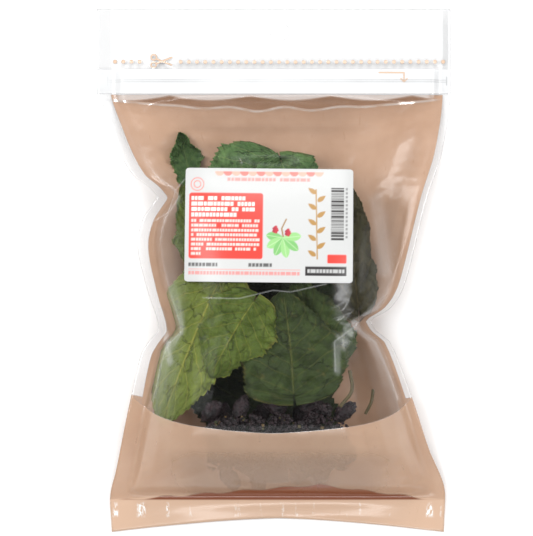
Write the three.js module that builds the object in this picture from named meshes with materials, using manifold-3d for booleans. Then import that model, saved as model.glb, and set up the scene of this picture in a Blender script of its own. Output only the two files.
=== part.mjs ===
// A flat zip pouch of dried mulberry leaves and mulberries, lying on its back on a table.
// Millimetres. X runs across the pouch, +Y runs up to its header and +Z out of its front.
// The origin is on the table, under the middle of the pouch.
import * as THREE from "three";
import { mergeVertices } from "three/addons/utils/BufferGeometryUtils.js";
import Module from "manifold-3d";

// Driving dimensions. The pouch is 180 wide and about 286 long when it is empty and flat.
const pouchWidth = 180;
const pouchLength = 266; // as it lies, shortened by its bulge
const bulge = 47; // height of the full part's inside
const waist = 62; // half the width of the full part at its narrowest, between the pinches
const filmThickness = 0.4;
const weldGap = 0.3; // the two films stay this far apart where they are welded
const leftSeal = 8;
const rightSeal = 4;
const bottomSealTop = -115.5;
const bottomArch = { x: 33, rise: 8, left: 116, right: 54 }; // the bottom edge is drawn up towards its middle
const seamLift = 10; // the welded side edges hang this high above the table
const zipLine = 96;
const zipFlange = 12.4;
const zipLength = 156;
const zipCentre = 2;
const zipRoom = 3; // distance between the films at the zip
const topSealStart = 106;
const hangHole = { x: 3, y: 121.5, radius: 4.25 };
const label = { x: -2.3, y: 22.5, width: 84, height: 57, turn: -0.6, corner: 2, thickness: 0.3, lift: 1.1 };
const leafThickness = 0.45;
const berry = { length: 13.5, width: 8, height: 7.4 };
const clearance = 0.35; // between a zip strip and its film
const contentsMargin = 1.4; // the contents stay this far from both films

const halfWidth = pouchWidth / 2;
const halfLength = pouchLength / 2;

// Outer edges of the pouch, bottom to top. Full, it is drawn in at two places on the left and one on the right.
const leftOutline = [
  [-82.2, -halfLength], [-83.1, -116], [-79.8, -101], [-72.4, -65], [-65.8, -39], [-58.3, -30], [-64, -10],
  [-69, 14], [-65.5, 28], [-58.5, 37.5], [-71.5, 48.5], [-84.3, 74], [-halfWidth, 92], [-halfWidth, halfLength],
];
const rightOutline = [
  [86.5, -halfLength], [87.2, -114], [78.5, -90], [70.3, -65], [60.2, -38.5], [57, -33.5], [47, -27], [58, -20.5],
  [65, -11], [69, 1.5], [77.2, 34.7], [86.2, 63], [halfWidth, 90], [halfWidth, halfLength],
];

const { clamp, lerp } = THREE.MathUtils;
const ease = (from, to, value) => {
  const t = clamp((value - from) / (to - from), 0, 1);
  return t * t * (3 - 2 * t);
};

// A curve through [x, y] points, read as x at a given y, with no overshoot between the points.
function outlineAt(points, y) {
  const at = Math.max(1, points.findIndex((p) => p[1] >= y));
  const slope = (i) => {
    if (i < 1 || i > points.length - 2) return 0;
    const before = (points[i][0] - points[i - 1][0]) / (points[i][1] - points[i - 1][1]);
    const after = (points[i + 1][0] - points[i][0]) / (points[i + 1][1] - points[i][1]);
    return before * after <= 0 ? 0 : (2 * before * after) / (before + after);
  };
  const [x0, y0] = points[at - 1];
  const [x1, y1] = points[at];
  const run = y1 - y0;
  const t = clamp((y - y0) / run, 0, 1);
  const rise = t * t * (3 - 2 * t);
  const bend = run * (t * (1 - t) * (1 - t) * slope(at - 1) - t * t * (1 - t) * slope(at));
  return lerp(x0, x1, rise) + bend;
}

const leftEdge = (y) => outlineAt(leftOutline, y);
const rightEdge = (y) => outlineAt(rightOutline, y);

// Rises from 0 at an edge to 1 at the given distance inside it, steeply at first.
const fullness = (distance, run) => 1 - (1 - clamp(distance / run, 0, 1)) ** 2;

// Distance inwards from the inner edge of the nearer side weld.
const inset = (x, y) => Math.min(x - leftEdge(y) - leftSeal, rightEdge(y) - rightSeal - x);

// Height of the back film's underside above the table: flat in the middle, raised towards the welds.
function backHeight(x, y) {
  const fromBottom = ease(bottomSealTop, bottomSealTop + 20, y);
  const fromZip = ease(zipLine - 8, zipLine - 36, y);
  const flat = ease(0, 26, inset(x, y)) * fromBottom * fromZip;
  const sides = seamLift * ease(-130, -70, y) * ease(92, 40, y);
  const middle = Math.max(0, 1 - (x / halfWidth) ** 2);
  const bottom = (seamLift / 2) * middle * ease(-halfLength - 4, bottomSealTop, y) * ease(-70, -95, y);
  return (1 - flat) * Math.max(sides, bottom);
}

// Clear distance between the two films. The pinches only draw in the outermost part of the pouch.
function room(x, y) {
  const bodyHalf = waist + 22 * ((y + 10) / 110) ** 2;
  const sideways = fullness(bodyHalf - Math.abs(x - 1), 34) * fullness(inset(x, y), 7);
  const upwards = fullness(y - bottomSealTop, 46) * fullness(zipLine - 6 - y, 100);
  const zip = zipRoom * ease(topSealStart, zipLine + zipFlange / 2, y) * ease(40, 70, y) * ease(0, 2, inset(x, y));
  return weldGap + Math.max((bulge - backHeight(x, y)) * sideways * upwards, zip);
}

const backTop = (x, y) => backHeight(x, y) + filmThickness;
const frontUnder = (x, y) => backTop(x, y) + room(x, y);

// Height of a level among the contents: 0 is just above the back film and 1 is just under the front film.
const levelHeight = (x, y, level) => {
  return lerp(backTop(x, y) + contentsMargin, frontUnder(x, y) - contentsMargin, level);
};

// Closes a grid of points into a sheet of the given thickness, built up on the side its normals point to.
function sheetGeometry(grid, thickness) {
  const rows = grid.length;
  const columns = grid[0].length;
  const at = (i, j) => grid[clamp(i, 0, rows - 1)][clamp(j, 0, columns - 1)];
  const lower = [];
  const upper = [];
  for (let i = 0; i < rows; i++) {
    for (let j = 0; j < columns; j++) {
      const alongColumns = at(i, j + 1).clone().sub(at(i, j - 1));
      const alongRows = at(i + 1, j).clone().sub(at(i - 1, j));
      const normal = alongColumns.cross(alongRows).normalize();
      lower.push(grid[i][j]);
      upper.push(grid[i][j].clone().addScaledVector(normal, thickness));
    }
  }
  const count = rows * columns;
  const index = [];
  const quad = (a, b, c, d) => index.push(a, b, c, a, c, d);
  for (let i = 0; i < rows - 1; i++) {
    for (let j = 0; j < columns - 1; j++) {
      const a = i * columns + j;
      const b = a + 1;
      const c = a + columns + 1;
      const d = a + columns;
      quad(count + a, count + b, count + c, count + d);
      quad(a, d, c, b);
    }
  }
  const rim = [];
  for (let j = 0; j < columns - 1; j++) rim.push(j);
  for (let i = 0; i < rows - 1; i++) rim.push(i * columns + columns - 1);
  for (let j = columns - 1; j > 0; j--) rim.push((rows - 1) * columns + j);
  for (let i = rows - 1; i > 0; i--) rim.push(i * columns);
  rim.forEach((a, k) => {
    const b = rim[(k + 1) % rim.length];
    quad(a, b, count + b, count + a);
  });
  const geometry = new THREE.BufferGeometry().setFromPoints([...lower, ...upper]);
  geometry.setIndex(index);
  return geometry;
}

// manifold-3d cuts the hanging hole.
const wasm = await Module();
wasm.setup();

function toSolid(geometry) {
  const bare = geometry.clone();
  bare.deleteAttribute("normal");
  bare.deleteAttribute("uv");
  const merged = mergeVertices(bare, 1e-4);
  return new wasm.Manifold(
    new wasm.Mesh({
      numProp: 3,
      vertProperties: merged.attributes.position.array,
      triVerts: new Uint32Array(merged.index.array),
    }),
  );
}

function toGeometry(solid) {
  const mesh = solid.getMesh();
  const geometry = new THREE.BufferGeometry();
  geometry.setAttribute("position", new THREE.BufferAttribute(mesh.vertProperties, 3));
  geometry.setIndex(new THREE.BufferAttribute(mesh.triVerts, 1));
  return geometry;
}

function cutHangHole(geometry) {
  const drill = new THREE.CylinderGeometry(hangHole.radius, hangHole.radius, 20, 24);
  drill.rotateX(Math.PI / 2);
  drill.translate(hangHole.x, hangHole.y, 0);
  return toGeometry(toSolid(geometry).subtract(toSolid(drill)));
}

// Rows of a film, bottom to top: closer together just above the bottom weld.
function filmRows() {
  const rows = [-halfLength, -126, -119.5, bottomSealTop, -112.5, -108.5, -103.5];
  for (let y = -98; y < 84; y += 5.2) rows.push(y);
  rows.push(86, zipLine - zipFlange / 2, zipLine + zipFlange / 2, topSealStart, 115, 124, halfLength);
  return rows;
}

// How far a point of the bottom weld is drawn up.
function drawnUp(x, y) {
  const offset = x - bottomArch.x;
  const share = Math.abs(offset) / (offset < 0 ? bottomArch.left : bottomArch.right);
  return bottomArch.rise * Math.max(0, 1 - share ** 1.5) * ease(bottomSealTop, -halfLength, y);
}

// One film: its columns run from edge to edge, with one on each side weld's inner edge.
function filmGrid(height) {
  const innerColumns = 16;
  return filmRows().map((y) => {
    const left = leftEdge(y);
    const right = rightEdge(y);
    const stops = [left];
    for (let k = 0; k <= innerColumns; k++) {
      const even = k / innerColumns;
      const crowded = (1 - Math.cos(Math.PI * even)) / 2; // closer together near the welds
      stops.push(lerp(left + leftSeal, right - rightSeal, lerp(even, crowded, 0.6)));
    }
    stops.push(right);
    return stops.map((x) => new THREE.Vector3(x, y + drawnUp(x, y), height(x, y)));
  });
}

const backFilm = () => cutHangHole(sheetGeometry(filmGrid(backHeight), filmThickness));
const frontFilm = () => cutHangHole(sheetGeometry(filmGrid(frontUnder), filmThickness));

// Zip strips: a flange along each film, one with a rib and one with the channel that the rib snaps into.
function zipStrip(profile, height, isUpper) {
  const shape = new THREE.Shape(profile.map(([y, z]) => new THREE.Vector2(y, isUpper ? -z : z)));
  const geometry = new THREE.ExtrudeGeometry(shape, { depth: zipLength, bevelEnabled: false });
  geometry.rotateX(Math.PI / 2);
  geometry.rotateZ(Math.PI / 2);
  geometry.translate(zipCentre - zipLength / 2, zipLine, height);
  return geometry;
}

function zipChannel() {
  const half = zipFlange / 2;
  const profile = [
    [-half, 0], [half, 0], [half, 0.4], [1.9, 0.4], [1.9, 1.7], [0.75, 1.7], [0.75, 1.35], [1.3, 1.35],
    [1.3, 0.4], [-1.3, 0.4], [-1.3, 1.35], [-0.75, 1.35], [-0.75, 1.7], [-1.9, 1.7], [-1.9, 0.4], [-half, 0.4],
  ];
  return zipStrip(profile, filmThickness + clearance, false);
}

function zipRib() {
  const half = zipFlange / 2;
  const profile = [
    [-half, 0], [half, 0], [half, 0.4], [0.4, 0.4], [0.4, 1.6], [0.9, 1.6], [0.9, 1.9], [-0.9, 1.9],
    [-0.9, 1.6], [-0.4, 1.6], [-0.4, 0.4], [-half, 0.4],
  ];
  return zipStrip(profile, filmThickness + weldGap + zipRoom - clearance, true);
}

// The sticker on the front film, with rounded corners.
function labelSticker() {
  const columns = 14;
  const rows = 11;
  const turn = THREE.MathUtils.degToRad(label.turn);
  const grid = [];
  for (let i = 0; i < rows; i++) {
    const v = (i / (rows - 1) - 0.5) * label.height;
    const nearEnd = Math.max(0, Math.abs(v) - label.height / 2 + label.corner);
    const cornerCut = label.corner - Math.sqrt(label.corner ** 2 - nearEnd ** 2);
    grid.push([]);
    for (let j = 0; j < columns; j++) {
      const u = (j / (columns - 1) - 0.5) * (label.width - 2 * cornerCut);
      const x = label.x + u * Math.cos(turn) - v * Math.sin(turn);
      const y = label.y + u * Math.sin(turn) + v * Math.cos(turn);
      grid[i].push(new THREE.Vector3(x, y, frontUnder(x, y) + filmThickness + label.lift));
    }
  }
  return sheetGeometry(grid, label.thickness);
}

// One dried leaf: an egg-shaped blade that follows a level between the two films, with its own ripple and curl.
function leafBlade({ at, turn, length, width, level, ripple = 0.02, curl = 0 }) {
  const rows = 9;
  const columns = 5;
  const angle = THREE.MathUtils.degToRad(turn);
  const grid = [];
  for (let i = 0; i < rows; i++) {
    const s = i / (rows - 1);
    const half = Math.max(0.8, (width / 2) * Math.sin(Math.PI * s ** 0.75) ** 0.7);
    grid.push([]);
    for (let j = 0; j < columns; j++) {
      const r = (2 * j) / (columns - 1) - 1;
      const u = r * half;
      const v = (s - 0.5) * length;
      const x = at[0] + u * Math.cos(angle) - v * Math.sin(angle);
      const y = at[1] + u * Math.sin(angle) + v * Math.cos(angle);
      const wave = ripple * Math.sin(u / 7 + turn) * Math.cos(v / 9 + 3 * level);
      const bent = curl * (r * r - 0.4);
      grid[i].push(new THREE.Vector3(x, y, levelHeight(x, y, level + wave + bent)));
    }
  }
  return sheetGeometry(grid, leafThickness);
}

// Back to front. level 0 is the back film and level 1 is the front film.
const leaves = {
  leaf_back_lower: { at: [2, -54], turn: 8, length: 80, width: 62, level: 0.03 },
  leaf_back_upper: { at: [4, 24], turn: 190, length: 76, width: 62, level: 0.05 },
  leaf_back_right: { at: [9, -34], turn: 150, length: 64, width: 48, level: 0.16 },
  leaf_back_left: { at: [-20, -42], turn: 30, length: 66, width: 50, level: 0.28 },
  leaf_under_label: { at: [0, 14], turn: 75, length: 78, width: 58, level: 0.4 },
  leaf_top: { at: [-4, 39], turn: 96, length: 62, width: 44, level: 0.6 },
  leaf_top_right: { at: [20, 34], turn: -60, length: 44, width: 34, level: 0.76 },
  leaf_right: { at: [37, 12], turn: 10, length: 56, width: 28, level: 0.55 },
  leaf_left_edge: { at: [-33, 12], turn: -10, length: 50, width: 28, level: 0.74 },
  leaf_curled_top: { at: [-43, 58], turn: 24, length: 34, width: 22, level: 0.4, ripple: 0.05, curl: 0.25 },
  leaf_front_right: { at: [13, -34], turn: 200, length: 58, width: 46, level: 0.7 },
  leaf_front_middle: { at: [-8, -32], turn: 165, length: 54, width: 44, level: 0.82 },
  leaf_front_left: { at: [-29.5, -38], turn: 150, length: 68, width: 34, level: 0.92, ripple: 0.01 },
};

// One dried mulberry.
function berrySolid({ at, turn, tilt }) {
  const geometry = new THREE.IcosahedronGeometry(0.5, 1);
  geometry.scale(berry.length, berry.width, berry.height);
  geometry.rotateY(tilt);
  geometry.rotateZ(turn);
  geometry.translate(...at);
  return geometry;
}

// The mulberries lie in two layers at the foot of the pouch, over the leaves at the back.
function berryPlaces() {
  const layers = [
    { level: 0.52, columns: 4, rows: [-72, -83, -94, -104], shift: 0 },
    { level: 0.79, columns: 5, rows: [-70, -81, -92], shift: 0.5 },
  ];
  const places = [];
  layers.forEach(({ level, columns, rows, shift }, layer) => {
    rows.forEach((rowY, row) => {
      for (let k = 0; k < columns; k++) {
        const seed = 7 * layer + 3 * row + 5 * k;
        const x = 2 + (k - (columns - 1) / 2) * 16.6 + 1.2 * Math.sin(2 * seed);
        const y = rowY + 0.7 * Math.cos(3 * seed + shift);
        places.push({
          at: [x, y, levelHeight(x, y, level)],
          turn: 0.42 * Math.sin(1.7 * seed + 1),
          tilt: 0.2 * Math.sin(2.3 * seed),
        });
      }
    });
  });
  return places;
}

// A dry leaf stalk, bent along a curve between the films.
function stalkGeometry(points, radius) {
  const path = points.map(([x, y, level]) => new THREE.Vector3(x, y, levelHeight(x, y, level)));
  const circle = new THREE.Shape().absarc(0, 0, radius, 0, 2 * Math.PI);
  return new THREE.ExtrudeGeometry(circle, {
    steps: 12,
    curveSegments: 4,
    extrudePath: new THREE.CatmullRomCurve3(path),
  });
}

const materials = {
  clearFilm: new THREE.MeshStandardMaterial({
    color: 0xe9e6e0, roughness: 0.12, metalness: 0, transparent: true, opacity: 0.3,
  }),
  printedFilm: new THREE.MeshStandardMaterial({ color: 0xc7a58c, roughness: 0.25, metalness: 0 }),
  zip: new THREE.MeshStandardMaterial({ color: 0xe6e6e4, roughness: 0.3, metalness: 0 }),
  paper: new THREE.MeshStandardMaterial({ color: 0xf7f6f4, roughness: 0.5, metalness: 0 }),
  leaf: new THREE.MeshStandardMaterial({ color: 0x4f6130, roughness: 0.8, metalness: 0 }),
  berry: new THREE.MeshStandardMaterial({ color: 0x221a1c, roughness: 0.6, metalness: 0 }),
  stalk: new THREE.MeshStandardMaterial({ color: 0x6b6a35, roughness: 0.8, metalness: 0 }),
};

const group = new THREE.Group();

function place(name, geometry, material) {
  geometry.computeVertexNormals();
  const mesh = new THREE.Mesh(geometry, material);
  mesh.name = name;
  group.add(mesh);
}

place("back_film", backFilm(), materials.printedFilm);
place("front_film", frontFilm(), materials.clearFilm);
place("zip_channel", zipChannel(), materials.zip);
place("zip_rib", zipRib(), materials.zip);
place("label", labelSticker(), materials.paper);
for (const [name, shape] of Object.entries(leaves)) place(name, leafBlade(shape), materials.leaf);
berryPlaces().forEach((spot, k) => {
  place(`berry_${String(k + 1).padStart(2, "0")}`, berrySolid(spot), materials.berry);
});
place("stalk_long", stalkGeometry([[33, -68, 0.93], [39, -60, 0.9], [38, -50, 0.86]], 0.9), materials.stalk);
place("stalk_short", stalkGeometry([[46, -72, 0.7], [49, -66, 0.72], [50, -60, 0.66]], 0.8), materials.stalk);

export default group;
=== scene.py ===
import bmesh
import bpy
import functools
import math
import random
import numpy as np
from mathutils import Matrix, Vector, noise
from mathutils.bvhtree import BVHTree


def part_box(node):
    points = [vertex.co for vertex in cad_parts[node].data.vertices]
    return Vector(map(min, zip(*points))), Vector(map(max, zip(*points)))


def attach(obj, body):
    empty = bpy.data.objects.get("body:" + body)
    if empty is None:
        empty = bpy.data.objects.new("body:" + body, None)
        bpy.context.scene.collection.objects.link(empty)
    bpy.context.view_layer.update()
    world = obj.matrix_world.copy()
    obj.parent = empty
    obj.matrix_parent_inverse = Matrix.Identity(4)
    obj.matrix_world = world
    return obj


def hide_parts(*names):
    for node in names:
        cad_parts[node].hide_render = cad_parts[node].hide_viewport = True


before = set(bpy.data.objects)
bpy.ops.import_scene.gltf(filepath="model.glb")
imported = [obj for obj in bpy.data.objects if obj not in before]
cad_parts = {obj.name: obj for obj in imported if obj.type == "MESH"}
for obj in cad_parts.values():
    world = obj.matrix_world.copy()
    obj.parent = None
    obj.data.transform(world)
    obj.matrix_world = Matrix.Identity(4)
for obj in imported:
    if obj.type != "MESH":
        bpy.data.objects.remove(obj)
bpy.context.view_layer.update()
mm = 0.001


def smooth(low, high, value):
    t = np.clip((value - low) / (high - low), 0.0, 1.0)
    return t * t * (3 - 2 * t)


def mix(a, b, t):
    return a * (1 - t) + b * t


def treeOfNode(name):
    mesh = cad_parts[name].data
    points = [v.co[:] for v in mesh.vertices]
    return BVHTree.FromPolygons(points, [p.vertices[:] for p in mesh.polygons])


def treeOfGrid(grid):
    rows, columns = grid.shape[:2]
    return BVHTree.FromPolygons(grid.reshape(-1, 3).tolist(), gridFaces(rows, columns))


def gridFaces(rows, columns, facingDown=False):
    faces = []
    for i in range(rows - 1):
        for j in range(columns - 1):
            a = i * columns + j
            face = (a, a + 1, a + columns + 1, a + columns)
            faces.append(face[::-1] if facingDown else face)
    return faces


def heightAt(tree, x, y, fromBelow=False):
    # a ray may slip between two triangles, so it is tried again a hair to the side
    for dx, dy in ((0, 0), (0.2, 0.1), (-0.2, 0.15), (0.1, -0.3), (-0.5, -0.4), (0.6, 0.5)):
        start = Vector((x + dx * mm, y + dy * mm, -0.2 if fromBelow else 0.3))
        hit = tree.ray_cast(start, Vector((0, 0, 1 if fromBelow else -1)))[0]
        if hit:
            return hit.z
    return None


def newObject(name, data):
    made = bpy.data.objects.new(name, data)
    bpy.context.scene.collection.objects.link(made)
    return made


def meshPiece(name, points, faces, material, smoothShade=True):
    mesh = bpy.data.meshes.new(name)
    mesh.from_pydata([tuple(p) for p in points], [], faces)
    mesh.update()
    if smoothShade:
        mesh.polygons.foreach_set("use_smooth", [True] * len(mesh.polygons))
    mesh.materials.append(material)
    return newObject(name, mesh)


def setUv(piece, uvOfVertex, name="flat"):
    mesh = piece.data
    layer = mesh.uv_layers.new(name=name)
    corners = np.zeros(len(mesh.loops), dtype=np.int32)
    mesh.loops.foreach_get("vertex_index", corners)
    layer.data.foreach_set("uv", np.asarray(uvOfVertex, dtype=np.float32)[corners].ravel())


def thicken(piece, thickness):
    wall = piece.modifiers.new("wall", "SOLIDIFY")
    wall.thickness = thickness
    wall.offset = -1.0
    wall.use_even_offset = False


def finishPiece(piece, slot, *replacedNodes):
    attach(piece, "root")
    if replacedNodes:
        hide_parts(*replacedNodes)


def fieldMaths(operation):
    return lambda field, *others: field.math(operation, *others)


class Field:
    # one node's output, which arithmetic turns into further nodes
    def __init__(self, paint, socket):
        self.paint, self.socket = paint, socket

    def math(self, operation, *others, clamp=False):
        settings = {"operation": operation, "use_clamp": clamp}
        return self.paint.node("ShaderNodeMath", settings, dict(enumerate((self, *others))))

    __add__ = __radd__ = fieldMaths("ADD")
    __sub__ = fieldMaths("SUBTRACT")
    __mul__ = __rmul__ = fieldMaths("MULTIPLY")
    __truediv__ = fieldMaths("DIVIDE")
    __pow__ = fieldMaths("POWER")
    __mod__ = fieldMaths("FLOORED_MODULO")
    __abs__ = fieldMaths("ABSOLUTE")
    sine = fieldMaths("SINE")
    root = fieldMaths("SQRT")
    least = fieldMaths("MINIMUM")
    most = fieldMaths("MAXIMUM")

    def __rsub__(self, other):
        return self * -1 + other

    def clamped(self):
        return self.math("ADD", 0.0, clamp=True)

    def over(self, level, soft):
        return ((self - level) / soft + 0.5).clamped()

    def under(self, level, soft):
        return ((level - self) / soft + 0.5).clamped()

    def between(self, low, high, soft):
        return self.over(low, soft) * self.under(high, soft)


class Paint:
    def __init__(self, name):
        self.material = bpy.data.materials.new(name)
        self.material.use_nodes = True
        self.tree = self.material.node_tree
        self.tree.nodes.clear()

    def node(self, kind, settings=None, inputs=None, output=0):
        made = self.tree.nodes.new(kind)
        for key, value in (settings or {}).items():
            setattr(made, key, value)
        for key, value in (inputs or {}).items():
            if isinstance(value, Field):
                self.tree.links.new(value.socket, made.inputs[key])
            else:
                made.inputs[key].default_value = value
        return Field(self, made.outputs[output]) if made.outputs else None

    def uv(self, name="flat"):
        return self.split(self.node("ShaderNodeUVMap", {"uv_map": name}))

    def attribute(self, name, output):
        # a point attribute's outputs are its colour, vector, value and alpha
        return self.node("ShaderNodeAttribute", {"attribute_name": name}, None, output)

    def split(self, vector):
        parts = self.node("ShaderNodeSeparateXYZ", None, {0: vector}).socket.node.outputs
        return [Field(self, part) for part in parts]

    def place(self):
        return self.node("ShaderNodeTexCoord", None, None, 3)

    def join(self, x, y, z=0.0):
        return self.node("ShaderNodeCombineXYZ", None, {0: x, 1: y, 2: z})

    def noise(self, vector, scale, detail=3.0, roughness=0.55, stretch=None):
        if stretch:
            vector = self.node("ShaderNodeVectorMath", {"operation": "MULTIPLY"}, {0: vector, 1: stretch})
        inputs = {"Vector": vector, "Scale": scale, "Detail": detail, "Roughness": roughness}
        return self.node("ShaderNodeTexNoise", None, inputs)

    def cellEdges(self, vector, scale):
        # how far each point is from the edge of its cell
        inputs = {"Vector": vector, "Scale": scale}
        return self.node("ShaderNodeTexVoronoi", {"feature": "DISTANCE_TO_EDGE"}, inputs)

    def blend(self, mask, first, second):
        # a Mix node's colour sockets are its sixth and seventh, and its colour output the third
        inputs = {0: mask, 6: first if isinstance(first, Field) else rgb(first)}
        inputs[7] = second if isinstance(second, Field) else rgb(second)
        return self.node("ShaderNodeMix", {"data_type": "RGBA"}, inputs, 2)

    def bump(self, height, strength, distance):
        inputs = {"Height": height, "Strength": strength, "Distance": distance}
        return self.node("ShaderNodeBump", None, inputs)

    def finish(self, inputs):
        surface = self.node("ShaderNodeBsdfPrincipled", None, inputs)
        self.node("ShaderNodeOutputMaterial", None, {0: surface})
        return self.material


def rgb(colour):
    # colours are written as on a paint card, 0 to 255
    linear = [((c / 255 + 0.055) / 1.055) ** 2.4 if c > 10.3 else c / 255 / 12.92 for c in colour]
    return (*linear, 1.0)


pouch = {
    "flatWidth": 180 * mm,
    "flatLength": 286 * mm,  # the length of its side seams
    "leftSeal": 7.5 * mm,
    "rightSeal": 4 * mm,
    "bottomSeal": 17 * mm,
    "columns": 129,
    "rows": 205,
    "filmThickness": 0.12 * mm,
    "weldHalf": 0.2 * mm,
    "footWeld": (-116 * mm, -109 * mm),  # where the two films part above the foot, as the pouch lies
    "topWeld": (104 * mm, 110 * mm),  # where they meet again in the header
    "heldHeader": 43 * mm,  # of the flat film, kept still while the rest settles
    "headerWave": 0.45 * mm,
    "zipWave": 0.25 * mm,
    "frames": 22,
    "highest": 49.5 * mm,
}
filmCloth = {
    "quality": 6,
    "mass": 0.1,
    "tension_stiffness": 60,
    "compression_stiffness": 60,
    "shear_stiffness": 40,
    "bending_stiffness": 1.6,
    "use_pressure": True,
    "uniform_pressure_force": 3.0,
    "pin_stiffness": 50,
}

frontTree = treeOfNode("front_film")
backTree = treeOfNode("back_film")


def sideLine(side):
    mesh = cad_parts["back_film"].data
    points = np.array([v.co[:] for v in mesh.vertices])
    ends = np.array([e.vertices[:] for e in mesh.edges])
    a, b = points[ends[:, 0]], points[ends[:, 1]]
    low, high = points[:, 1].min(), points[:, 1].max()
    line = []
    for y in np.linspace(low, high, 160):
        level = min(max(y, low + 0.3 * mm), high - 0.3 * mm)
        crossing = (a[:, 1] - level) * (b[:, 1] - level) <= 0
        p, q = a[crossing], b[crossing]
        run = np.where(np.abs(q[:, 1] - p[:, 1]) > 1e-9, q[:, 1] - p[:, 1], 1.0)
        t = (level - p[:, 1]) / run
        at = p + (q - p) * t[:, None]
        line.append(at[np.argmax(side * at[:, 0])])
        line[-1][1] = y
    return np.array(line)


def lengthsAlong(line):
    steps = np.linalg.norm(np.diff(line, axis=0), axis=1)
    return np.concatenate([[0.0], np.cumsum(steps)])


def spacedAlong(line, shares):
    lengths = lengthsAlong(line)
    return np.stack([np.interp(shares * lengths[-1], lengths, line[:, k]) for k in range(3)], axis=1)


leftLine, rightLine = sideLine(-1), sideLine(1)


def xOfSide(line, y):
    return np.interp(y, line[:, 1], line[:, 0])


def insetAt(x, y):
    return min(x - xOfSide(leftLine, y) - pouch["leftSeal"], xOfSide(rightLine, y) - pouch["rightSeal"] - x)


def middleLine():
    foot, top = (corner.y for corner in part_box("front_film"))
    ys = np.linspace(foot + 7 * mm, top, 140)
    return np.array([(0.0, y, heightAt(frontTree, 0.0, min(y, top - mm)) or mm) for y in ys])


def filmStart():
    # where each point of the flat film starts: edges on the seams, middle stretched over the contents
    columns, rows = pouch["columns"], pouch["rows"]
    us = np.linspace(-0.5, 0.5, columns) * pouch["flatWidth"]
    vs = np.linspace(-0.5, 0.5, rows) * pouch["flatLength"]
    shares = np.linspace(0, 1, rows)
    left, right, middle = (spacedAlong(line, shares) for line in (leftLine, rightLine, middleLine()))
    flat = np.zeros((rows, columns, 3))
    flat[:, :, 0], flat[:, :, 1] = us[None, :], vs[:, None]
    front, back = flat.copy(), flat.copy()
    for i in range(rows):
        for j in range(columns):
            across = j / (columns - 1)
            edge = mix(left[i], right[i], across)
            outward = abs(2 * across - 1) ** 1.5
            x, y = edge[0], mix(middle[i, 1], edge[1], outward)
            inset = insetAt(x, y)
            under = heightAt(backTree, x, y, True)
            over = heightAt(frontTree, x, y)
            seam = edge[2]
            under = seam if under is None else under
            over = seam + mm if over is None else over
            welded = 1 - smooth(0, 5 * mm, inset)
            welded = max(welded, 1 - smooth(*pouch["footWeld"], y), smooth(*pouch["topWeld"], y))
            middleHeight = under + 0.5 * mm
            front[i, j] = (x, y, mix(over, middleHeight + pouch["weldHalf"], welded))
            back[i, j] = (x, y, mix(under, middleHeight - pouch["weldHalf"], welded))
    return flat, front, back


def isHeld(u, v):
    halfWidth, halfLength = pouch["flatWidth"] / 2, pouch["flatLength"] / 2
    onSide = u < -halfWidth + pouch["leftSeal"] or u > halfWidth - pouch["rightSeal"]
    return onSide or v < -halfLength + pouch["bottomSeal"] or v > halfLength - pouch["heldHeader"]


def settleFilm(name, start, flat, facingDown):
    # a stiff sheet, cut flat, held along its welds and pushed out by the air inside
    rows, columns = start.shape[:2]
    mesh = bpy.data.meshes.new(name)
    mesh.from_pydata(start.reshape(-1, 3).tolist(), [], gridFaces(rows, columns, facingDown))
    sheet = newObject(name, mesh)
    sheet.shape_key_add(name="Basis")
    cut = sheet.shape_key_add(name="cut")
    cut.data.foreach_set("co", flat.astype(np.float32).ravel())
    held = sheet.vertex_groups.new(name="held")
    heldPoints = [k for k, (u, v, _) in enumerate(flat.reshape(-1, 3)) if isHeld(u, v)]
    held.add(heldPoints, 1.0, "REPLACE")
    cloth = sheet.modifiers.new("cloth", "CLOTH")
    cloth.settings.rest_shape_key = cut
    cloth.settings.vertex_group_mass = "held"
    for name, value in filmCloth.items():
        setattr(cloth.settings, name, value)
    cloth.settings.effector_weights.gravity = 0.0
    cloth.collision_settings.use_collision = False
    cloth.point_cache.frame_end = pouch["frames"]
    for f in range(1, pouch["frames"] + 1):
        bpy.context.scene.frame_set(f)
    evaluated = sheet.evaluated_get(bpy.context.evaluated_depsgraph_get())
    settled = np.zeros(rows * columns * 3)
    evaluated.data.vertices.foreach_get("co", settled)
    bpy.data.objects.remove(sheet)
    bpy.context.scene.frame_set(1)
    return settled.reshape(rows, columns, 3)


flatFilm, frontStart, backStart = filmStart()
print("film laid out", frontStart[:, :, 2].max())
frontFilm = settleFilm("frontSettling", frontStart, flatFilm, False)
backFilm = settleFilm("backSettling", backStart, flatFilm, True)
print("film settled", frontFilm[:, :, 2].max(), backFilm[:, :, 2].min())
frontFilm[:, :, 2] = np.minimum(frontFilm[:, :, 2], pouch["highest"])
backFilm[:, :, 2] = np.maximum(backFilm[:, :, 2], 0.1 * mm)


label = {
    "turn": math.radians(-0.6),
    "corner": 1.6 * mm,
    "thickness": 0.14 * mm,
    "columns": 229,
    "rows": 155,
    "paper": (205, 206, 205),
    "red": (232, 62, 50),
    "pink": (232, 128, 120),
    "peach": (240, 176, 158),
    "paleInk": (255, 238, 232),
    "darkInk": (38, 34, 35),
    "gold": (178, 136, 74),
    "leafGreens": ((126, 190, 112), (152, 208, 132)),
    "leafVein": (196, 226, 176),
    "twig": (160, 124, 82),
    "fruit": (190, 50, 62),
    "darkFruit": (168, 40, 62),
}
labelLow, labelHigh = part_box("label")
labelCentre = (labelLow + labelHigh) / 2
labelSize = (labelHigh.x - labelLow.x - 0.6 * mm, labelHigh.y - labelLow.y - 0.9 * mm)


def toLabel(x, y):
    c, s = math.cos(label["turn"]), math.sin(label["turn"])
    dx, dy = x - labelCentre.x, y - labelCentre.y
    return dx * c + dy * s, -dx * s + dy * c


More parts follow.
